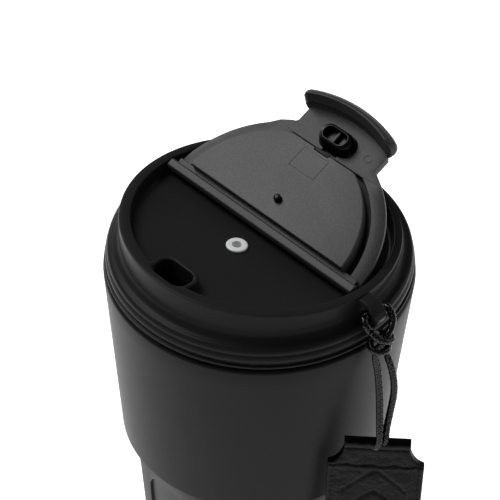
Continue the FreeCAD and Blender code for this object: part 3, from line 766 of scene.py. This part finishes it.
def flap_barrel():
    """Hinge bar across the lid, a round-cornered beam with a flat upper face."""
    section = arc_line([
        (-1.35, -1.0, 1.8, "left"), (-1.35, 0.9, 0.55, "left"), (-0.8, 1.5), (0.8, 1.5, 0.55, "left"),
        (1.35, 0.9, 1.8, "left"), (1.35, -1.0, 1.7, "left"),
    ], 0.2)
    half, end, end_scale = 37.1, 0.25, 0.86
    points = []
    for x, scale in ((-half, end_scale), (-half + end, 1.0), (half - end, 1.0), (half, end_scale)):
        points += [on_flap(x, y * scale, PLANE_DROP + h * scale) for y, h in section]
    return through_rings(points, len(section))


def flap_lip():
    """Curved thumb lip round the tab's edge, with rounded ends and a ridge that sinks towards them."""
    right_end, left_end = math.radians(22.3), math.radians(24.4)
    count, end_count = 110, 12
    end_turn, end_scale, sink_share = 0.05, 0.3, 0.17
    section = arc_line([
        (-0.1, -1.9), (1.5, -1.9, 2.6, "right"), (3.2, -0.9, 3.2, "right"), (4.05, 2.4, 2.9, "right"),
        (3.2, 5.0, 2.6, "right"), (1.75, 6.3, 0.3, "right"), (1.3, 6.25, 9.0, "left"),
        (0.5, 2.6, 3.0, "left"), (-0.1, -0.2), (-0.1, -1.9),
    ], 0.3)[:-1]
    foot_radius, middle_out, middle_up = 41.3, 1.9, 1.2
    low, high = end_turn - right_end, left_end - end_turn
    stations = [(low + (high - low) * k / count, 1.0) for k in range(count + 1)]
    for k in range(1, end_count + 1):
        ease = math.pi / 2 * k / (end_count + 0.5)
        scale = end_scale + (1 - end_scale) * math.cos(ease)
        stations.append((high + end_turn * math.sin(ease), scale))
        stations.insert(0, (low - end_turn * math.sin(ease), scale))
    points = []
    for turn, scale in stations:
        bearing = math.pi / 2 + turn
        for out, up in section:
            radius = foot_radius + middle_out + (out - middle_out) * scale
            sink = sink_share * (turn / left_end) ** 4 if up > middle_up else 0.0
            height = middle_up + (up - middle_up) * (scale - sink)
            points.append(on_flap(radius * math.cos(bearing), radius * math.sin(bearing), height))
    return through_rings(points, len(section))


def make_flap_shell():
    """Ring, tab, web and barrel in one, with the cap under it, the lip with its painted highlight, and a black block
    in the latch slot as painted shade.
    """
    cap, web = flap_cap_and_web()
    dress(cap, "flap_outer_cap", "flap", "lid_plastic", (), 32)
    # the lip takes flap_plastic's slot but a lighter colour: painted highlight
    dress(flap_lip(), "flap_thumb_lip", "flap", "flap_plastic", (), 50, "lip_satin")
    # a block of flap plastic drawn in black lid plastic fills the latch slot: painted shade of the slot
    insert = slot_outline(5.4, 1.1, 0.2, (0, 27.9), steps=3)
    insert = bevelled(loft([(insert, -1.7), (insert, 3.0)], on_flap), 0.12)
    dress(insert, "flap_latch_slot_painted_shade", "flap", "flap_plastic", (), 32, "lid_plastic")
    body = flap_tab()
    for extra in (ring_side(1), ring_side(-1), web, flap_barrel()):
        body = combined(body, extra, "UNION")
    notch = slot_outline(5.6, 2.2, 0.2, (0, CHORD), steps=2)
    body = combined(body, loft([(notch, -1.3), (notch, 1.0)], on_flap), "DIFFERENCE")
    mark_x, mark_y = 11.2, 34.6
    mark = lathe([(1.15, -0.12), (1.35, -0.12), (1.35, 1.0), (1.15, 1.0)],
                 lambda x, y, z, extra: on_flap(x + mark_x, y + mark_y, z), segments=48)
    body = combined(body, mark, "DIFFERENCE")
    dress(body, "flap_outer_shell", "flap", "flap_plastic", ["flap_shell"], 32)


def flap_panel_outline():
    """D shape: a circle cut by a line near the hinge and by a chord with rounded corners."""
    radius, centre, start, chord, corner = 30.4, 0.4, 2.8, 28.0, 6.0
    low_x = math.sqrt(radius ** 2 - (start - centre) ** 2)
    # circle of the corner's radius inside the panel's arc and the chord
    cy = chord - corner
    cx = math.sqrt((radius - corner) ** 2 - (cy - centre) ** 2)
    touch = Vector((cx, cy - centre)).normalized() * radius
    return arc_line([
        (-low_x, start), (low_x, start, radius, "right"), (touch.x, touch.y + centre, corner, "right"),
        (cx, chord), (-cx, chord, corner, "right"), (-touch.x, touch.y + centre, radius, "right"),
        (-low_x, start),
    ], 0.5)[:-1]


def make_flap_panel():
    """Raised panel with an engraved plain frame and a slot for the latch."""
    outline = flap_panel_outline()
    body = loft([(outline, -GROOVE + 0.05), (outline, PANEL_TOP)], on_flap)
    body = bevelled(body, 0.28, 3, 40)
    width, depth, line = 9.6, 7.0, 0.16
    left, low = -5.6, 19.2
    for x, y, across, along in ((left, low, width, line), (left, low + depth, width, line),
                                (left, low, line, depth), (left + width, low, line, depth + line)):
        bar = [(x, y), (x + across, y), (x + across, y + along), (x, y + along)]
        cutter = loft([(bar, PANEL_TOP - 0.12), (bar, PANEL_TOP + 0.5)], on_flap)
        body = combined(body, cutter, "DIFFERENCE")
    latch = slot_outline(5.8, 2.0, 0.3, (0, 28.1), steps=3)
    body = combined(body, loft([(latch, -2.0), (latch, PANEL_TOP + 0.5)], on_flap), "DIFFERENCE")
    dress(body, "flap_inner_panel", "flap", "panel_plastic", ["flap_panel"], 32)


def make_drink_plug():
    """Silicone plug: a tapered cup with a bar across it."""
    rings = [
        (12.8, 7.6, 3.5, -0.05), (12.5, 7.4, 3.4, 0.3), (11.8, 6.9, 3.1, 0.75), (11.6, 6.7, 3.0, 1.9),
        (11.1, 6.2, 2.8, 2.9), (10.4, 5.7, 2.5, 3.6), (9.5, 5.1, 2.3, 3.95), (8.9, 4.7, 2.15, 4.1),
        (8.4, 4.3, 2.0, 4.1), (8.1, 4.0, 1.85, 3.95), (7.9, 3.8, 1.75, 3.5), (7.7, 3.6, 1.65, 1.4),
    ]
    body = loft([(slot_outline(length, width, corner, (0, PLUG_Y)), height)
                 for length, width, corner, height in rings], on_flap)
    half, reach = 0.65, 2.1
    bar = [(-half, PLUG_Y - reach), (half, PLUG_Y - reach), (half, PLUG_Y + reach), (-half, PLUG_Y + reach)]
    body = combined(body, bevelled(loft([(bar, 1.1), (bar, 3.0)], on_flap), 0.25), "UNION")
    dress(body, "drink_plug_seal", "flap", "plug_silicone", ["drink_plug"], 40)


def make_vent_stopper():
    """Round nub on the panel that closes the vent."""
    profile = arc_line([
        (0.0, -0.1), (1.3, -0.1), (1.25, 0.1), (1.15, 0.4), (1.1, 1.2, 0.5, "right"), (0.7, 1.7),
        (0.3, 1.8), (0.0, 1.8),
    ], 0.12)
    shape = lathe(profile, lambda x, y, z, extra: on_flap(x, y + STOPPER_Y, z + PANEL_TOP), segments=48)
    dress(shape, "vent_stopper_nub", "flap", "plug_silicone", ["vent_stopper"], 50)


make_flap_shell()
make_flap_panel()
make_drink_plug()
make_vent_stopper()


# ---------------------------------------------------------------- lanyard

CORD_DIAMETER, CORD_STEP = 0.0022, 0.0003
# both strands and the loop as one cord, from the tag's left hole to its right one
CORD_ROUTE = [
    (0.05280, -0.00420, 0.1161), (0.05425, -0.00445, 0.1180), (0.05400, -0.00420, 0.1220),
    (0.05260, -0.00330, 0.1275), (0.05110, -0.00240, 0.1354), (0.04980, -0.00230, 0.1436),
    (0.04900, -0.00380, 0.1520), (0.05060, -0.00140, 0.1562), (0.04940, 0.00330, 0.1596),
    (0.04590, 0.00470, 0.1622), (0.04310, 0.00260, 0.1614), (0.04300, -0.00240, 0.1613),
    (0.04520, -0.00490, 0.1619), (0.04740, -0.00440, 0.1590), (0.04700, -0.00120, 0.1560),
    (0.04840, 0.00060, 0.1510), (0.05200, 0.00110, 0.1444), (0.05350, 0.00130, 0.1366),
    (0.05350, 0.00020, 0.1290), (0.05400, -0.00160, 0.1225), (0.05500, -0.00260, 0.1180),
    (0.05380, -0.00260, 0.1161),
]
# the cord's overhand knot, wrapped round both strands below the loop
KNOT_ROUTE = [
    (0.0478, -0.0042, 0.1592), (0.0498, -0.0038, 0.1576), (0.0516, -0.0012, 0.1562),
    (0.0508, 0.0016, 0.1554), (0.0480, 0.0020, 0.1550), (0.0460, -0.0004, 0.1546),
    (0.0464, -0.0032, 0.1536), (0.0488, -0.0044, 0.1530), (0.0510, -0.0028, 0.1525),
    (0.0510, 0.0002, 0.1521), (0.0490, 0.0016, 0.1516),
]


def spline_points(name, route):
    """Points read from a smooth spline that has the route's points as its control points."""
    data = bpy.data.curves.new(name, "CURVE")
    data.dimensions = "3D"
    data.resolution_u = 24
    spline = data.splines.new("NURBS")
    spline.points.add(len(route) - 1)
    for point, place in zip(spline.points, route):
        point.co = (*place, 1.0)
    spline.order_u = 3
    spline.use_endpoint_u = True
    item = bpy.data.objects.new(name, data)
    bpy.context.scene.collection.objects.link(item)
    mesh = bpy.data.meshes.new_from_object(item)
    points = [vertex.co.copy() for vertex in mesh.vertices]
    bpy.data.objects.remove(item)
    bpy.data.meshes.remove(mesh)
    return points


def resampled(points, step):
    """The same line with points at an even spacing."""
    lengths = [0.0]
    for before, after in zip(points, points[1:]):
        lengths.append(lengths[-1] + (after - before).length)
    count = max(2, round(lengths[-1] / step))
    result, cursor = [], 0
    for index in range(count + 1):
        target = lengths[-1] * index / count
        while cursor < len(points) - 2 and lengths[cursor + 1] < target:
            cursor += 1
        span = lengths[cursor + 1] - lengths[cursor]
        share = (target - lengths[cursor]) / span if span else 0.0
        result.append(points[cursor].lerp(points[cursor + 1], share))
    return result, lengths[-1]


def carried_frames(points):
    """Two directions across the line at each point, turned as little as the line allows."""
    frames = []
    side = Vector((0, 1, 0.2)).normalized()
    for index in range(len(points)):
        forward = (points[min(index + 1, len(points) - 1)] - points[max(index - 1, 0)]).normalized()
        side = (side - forward * side.dot(forward)).normalized()
        frames.append((side, forward.cross(side)))
    return frames


def braided(points, diameter, strands=12, pitch=0.0066):
    """Braided cord: a core, and strands that wind both ways and pass over and under each other."""
    step_length = (points[1] - points[0]).length
    frames = carried_frames(points)
    vertices, faces = [], []

    def tube(line, radius_across, radius_out, sides):
        base = len(vertices)
        for place, out, across in line:
            for k in range(sides):
                turn = 2 * math.pi * k / sides
                aside = across * radius_across * math.sin(turn)
                vertices.append(place + out * radius_out * math.cos(turn) + aside)
        faces.extend(band_faces(len(line) - 1, sides, base))
        faces.append(tuple(base + k for k in reversed(range(sides))))
        last = base + (len(line) - 1) * sides
        faces.append(tuple(last + k for k in range(sides)))

    radius = diameter / 2
    core, middle, lift, thickness = radius * 0.72, radius * 0.82, radius * 0.07, radius * 0.13
    tube([(p, u, v) for p, (u, v) in zip(points, frames)], core, core, 12)
    half = strands // 2
    width = 2 * math.pi * middle / strands * 1.25
    for way in (1, -1):
        for index in range(half):
            line = []
            for level, (p, (u, v)) in enumerate(zip(points, frames)):
                wound = 2 * math.pi * level * step_length / pitch
                bearing = way * wound + 2 * math.pi * index / half
                out = u * math.cos(bearing) + v * math.sin(bearing)
                across = v * math.cos(bearing) - u * math.sin(bearing)
                weave = math.cos(half * wound + math.pi * index)
                line.append((p + out * (middle + way * lift * weave), out, across))
            tube(line, width / 2, thickness, 6)
    mesh = bpy.data.meshes.new("braid")
    mesh.from_pydata(vertices, [], faces)
    return mesh


def make_cord():
    """The lanyard's cord, and its knot as a piece of its own."""
    line, length = resampled(spline_points("cord_route", CORD_ROUTE), CORD_STEP)
    cord = dress(braided(line, CORD_DIAMETER), "lanyard_cord", "lanyard", "cord_braid",
                 ["lanyard_loop", "lanyard_strand_left", "lanyard_strand_right"], 60)
    wraps, _ = resampled(spline_points("knot_route", KNOT_ROUTE), CORD_STEP)
    knot = dress(braided(wraps, CORD_DIAMETER), "lanyard_cord_knot", "lanyard", "cord_braid",
                 ["lanyard_knot"], 60)
    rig.cord(cord, exit=CORD_ROUTE[0], length=length, diameter=CORD_DIAMETER, far_end="object",
            stiffness="limp", lay="hanging", path=[tuple(p) for p in line[::6]] + [tuple(line[-1])],
            with_pieces=[knot])


make_cord()


# ---------------------------------------------------------------- tag

TAG_BEARING = math.radians(42.7)
TAG_PLANE, TAG_CENTRE, TAG_TOP = 38.4, 36.5, -33.2
TAG_HEAD, TAG_HALF, TAG_NECK, TAG_SHOULDER = 9.6, 14.0, 3.0, 9.5
TAG_LENGTH, TAG_CORNER, TAG_SKIN = 47.0, 5.0, 1.3


def on_tag(across, down, out):
    """Point on the tag: across its width, down from its top edge and out from its middle plane."""
    along = TAG_CENTRE + across
    off = TAG_PLANE + out
    x = along * math.cos(TAG_BEARING) + off * math.sin(TAG_BEARING)
    y = along * math.sin(TAG_BEARING) - off * math.cos(TAG_BEARING)
    return x, y, TAG_TOP - down


def tag_half_width(down):
    """Half the tag's width at a depth below its top edge."""
    if down < TAG_NECK:
        return TAG_HEAD
    if down < TAG_SHOULDER:
        share = (down - TAG_NECK) / (TAG_SHOULDER - TAG_NECK)
        return TAG_HEAD + (TAG_HALF - TAG_HEAD) * (1 - math.sqrt(max(1 - share ** 2, 0.0))) ** 0.8
    left = TAG_LENGTH - down
    if left < TAG_CORNER:
        return TAG_HALF - TAG_CORNER + math.sqrt(max(TAG_CORNER ** 2 - (TAG_CORNER - left) ** 2, 0.0))
    return TAG_HALF


def groove(distance, width):
    """Depth share of a pressed line: 1 on the line, 0 beyond its width."""
    return math.exp(-(distance / width) ** 2)


def edge_distance(across, down):
    """Distance in from the tag's own edge, near enough for its borders."""
    side = tag_half_width(down) - abs(across)
    return min(side, down, TAG_LENGTH - down)


def tag_relief(across, down):
    """Height of the leather's face over its middle: seams, crease, pressed border and chevron."""
    grain = noise.noise(Vector((across * 0.16, down * 0.16, 3.0))) * 0.2
    grain += noise.noise(Vector((across * 0.55, down * 0.4, 8.0))) * 0.14
    grain += noise.noise(Vector((across * 1.5, down * 1.3, 5.0))) * 0.07
    inset = edge_distance(across, down)
    edge = 1 - min(inset / 0.7, 1.0)
    height = grain * min(inset / 1.5, 1.0) - 0.45 * edge ** 2
    if down > 9.0:
        border = abs(tag_half_width(min(down, TAG_LENGTH - 6)) - abs(across) - 2.6)
        height -= 0.32 * groove(border, 0.34)
        height -= 0.3 * groove(TAG_LENGTH - 2.6 - down, 0.34)
    height += 0.3 * groove(down - 1.3, 0.9)
    height -= 0.28 * groove(down - 2.9, 0.35)
    height -= 0.32 * groove(down - 9.9 - 0.25 * math.sin(across * 0.9), 0.45)
    height += 0.1 * groove(down - 11.0, 0.8)
    if abs(across) < 9.4 and 11.5 < down < 30:
        fall = down - 12.4 - 1.08 * (math.sqrt(across ** 2 + 1.6) - 1.26)
        height -= 0.42 * groove(fall / 1.47, 0.55)
        height -= 0.42 * groove((fall - 9.0) / 1.47, 0.55)
    return height


def tag_side(name, facing, slot_name, node):
    """One leather panel: a fine grid whose rows follow the tag's outline, closed by a flat back."""
    rows, columns = 150, 88
    strength = 1.0 if facing > 0 else 0.5
    points = []
    for flat in (False, True):
        for row in range(rows + 1):
            down = TAG_LENGTH * row / rows
            half = max(tag_half_width(down), 0.3)
            for column in range(columns + 1):
                across = half * (2 * column / columns - 1)
                rise = 0.03 if flat else TAG_SKIN - 0.05 + tag_relief(across * facing, down) * strength
                points.append(on_tag(across, down, facing * rise))
    dress(slab(points, rows, columns), name, "lanyard", slot_name, [node], 55)


def make_stitches():
    """Thread stitches along the border of the tag's face."""
    meshes = []
    inset, pitch, reach, thread, start_down, end_gap = 1.5, 2.1, 0.62, 0.16, 11.0, 6.0
    eighths = [math.pi * k / 4 for k in range(8)]
    round_thread = [(thread * math.cos(t), thread * math.sin(t)) for t in eighths]

    def stitch(start, end):
        way = Vector((end[0] - start[0], end[1] - start[1]))
        path = []
        for share in (0.0, 0.2, 0.5, 0.8, 1.0):
            out = TAG_SKIN - 0.12 + thread * math.sin(math.pi * share)
            path.append(Vector(on_tag(start[0] + way.x * share, start[1] + way.y * share, out)))
        ups = [Vector((math.sin(TAG_BEARING), -math.cos(TAG_BEARING), 0))] * len(path)
        meshes.append(sweep(path, round_thread, ups))

    down = start_down
    while down < TAG_LENGTH - end_gap:
        for side in (1, -1):
            across = side * (tag_half_width(down) - inset)
            stitch((across, down), (across, down + 2 * reach))
        down += pitch
    across = -TAG_HALF + end_gap
    while across < TAG_HALF - end_gap:
        stitch((across, TAG_LENGTH - inset), (across + 2 * reach, TAG_LENGTH - inset))
        across += pitch
    dress(joined(meshes), "tag_stitches", "lanyard", "tag_leather", (), 60)


def make_tag():
    """Two leather layers stitched together."""
    tag_side("tag_front_leather", 1, "tag_leather", "tag_front")
    tag_side("tag_back_leather", -1, "tag_backing", "tag_back")
    make_stitches()


make_tag()


# ---------------------------------------------------------------- stage

def make_stage():
    """Wide pale floor and a dim even world."""
    mesh = bpy.data.meshes.new("floor")
    floor = bpy.data.objects.new("floor", mesh)
    half = 4.0
    corners = [(-half, -half, 0), (half, -half, 0), (half, half, 0), (-half, half, 0)]
    mesh.from_pydata(corners, [], [(0, 1, 2, 3)])
    bpy.context.scene.collection.objects.link(floor)
    paper = bpy.data.materials.new("paper")
    paper.use_nodes = True
    shader = paper.node_tree.nodes["Principled BSDF"]
    shader.inputs["Base Color"].default_value = (0.85, 0.85, 0.85, 1)
    shader.inputs["Roughness"].default_value = 0.9
    shader.inputs["Emission Color"].default_value = (1, 1, 1, 1)
    shader.inputs["Emission Strength"].default_value = 0.85
    mesh.materials.append(paper)
    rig.stage(floor)
    world = bpy.data.worlds.new("studio")
    bpy.context.scene.world = world
    world.use_nodes = True
    world.node_tree.nodes["Background"].inputs["Color"].default_value = (1, 1, 1, 1)
    world.node_tree.nodes["Background"].inputs["Strength"].default_value = 0.15


def area_light(name, bearing, rise, distance, width, height, power):
    """Soft light at a bearing from +X and a rise above the floor, in degrees, turned to the lid."""
    data = bpy.data.lights.new(name, "AREA")
    data.shape = "RECTANGLE"
    data.size, data.size_y, data.energy = width, height, power
    light = bpy.data.objects.new(name, data)
    bpy.context.scene.collection.objects.link(light)
    aim = Vector((0, 0, 0.13))
    turn, lift = math.radians(bearing), math.radians(rise)
    away = Vector((math.cos(lift) * math.cos(turn), math.cos(lift) * math.sin(turn), math.sin(lift)))
    light.location = aim + away * distance
    light.rotation_euler = (-away).to_track_quat("-Z", "Y").to_euler()


make_stage()
bpy.context.scene.view_settings.view_transform = "Standard"
area_light("overhead", 195, 58, 1.3, 0.7, 0.7, 13)
area_light("left_strip", 162, 12, 1.2, 0.25, 1.0, 3.5)
area_light("right_soft", 62, 22, 1.2, 0.5, 0.8, 2.2)

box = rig.bounds()
json.dump({"cad": [list(c) for c in cad_box], "visual": [list(c) for c in box]}, open("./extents.json", "w"))
